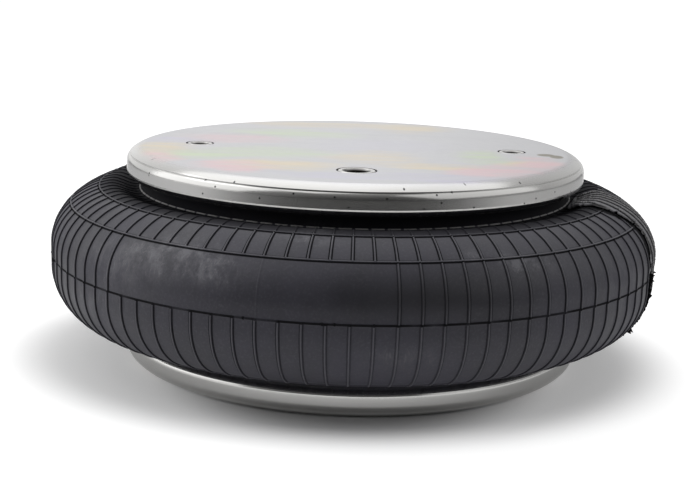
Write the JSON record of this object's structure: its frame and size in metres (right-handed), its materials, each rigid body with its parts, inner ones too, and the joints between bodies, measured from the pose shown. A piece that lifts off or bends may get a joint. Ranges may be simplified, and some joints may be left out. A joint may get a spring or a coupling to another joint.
{
  "type": "air bellows actuator",
  "caption": "Round pneumatic bellows actuator: a bulging, ribbed rubber bellows crimped between zinc-plated steel plates with blind mounting nuts and an air port, lifting along its axis.",
  "frame": {"origin": "centre of the lower bead plate's underside, on the axis", "axes": "+Z along the stroke, from the lower plate to the upper plate; +X along the line of the blind nuts; the air port lies towards -Y"},
  "size_m": [0.303, 0.303, 0.106],
  "materials": {
    "zinc_plate": "zinc plated and passivated, faint rainbow tint, satin",
    "nut_steel": "zinc plated, turned",
    "bead_wire": "brassed wire ring",
    "bead_rubber": "matte",
    "cover_rubber": "moulded, semi-matte, lightly dusty",
    "cord_ply": "rubberised cord",
    "liner_rubber": "smooth"
  },
  "bodies": {
    "lower": {"lower_bead_plate": "zinc_plate", "lower_blind_nut_left": "nut_steel", "lower_blind_nut_right": "nut_steel", "lower_bead_wire": "bead_wire", "lower_bead_filler": "bead_rubber"},
    "bellows": {"bellows_cover": "cover_rubber", "outer_cord_ply": "cord_ply", "inner_cord_ply": "cord_ply", "inner_liner": "liner_rubber"},
    "upper": {"upper_bead_plate": "zinc_plate", "upper_blind_nut_left": "nut_steel", "upper_blind_nut_right": "nut_steel", "air_port": "nut_steel", "upper_bead_wire": "bead_wire", "upper_bead_filler": "bead_rubber"}
  },
  "joints": [
    {"name": "stroke", "type": "slide", "parent": "lower", "child": "upper", "axis": [0, 0, 1], "range_m": [-0.055, 0.049], "stiffness_N_per_m": 3000, "springref_m": 0.0053, "deforming": ["bellows_cover", "outer_cord_ply", "inner_cord_ply", "inner_liner"]},
    {"name": "bellows_follow", "type": "slide", "parent": "lower", "child": "bellows", "axis": [0, 0, 1], "range_m": [-0.0275, 0.0245]}
  ],
  "couplings": [
    {"joint": "bellows_follow", "follows": "stroke", "ratio": 0.5}
  ]
}
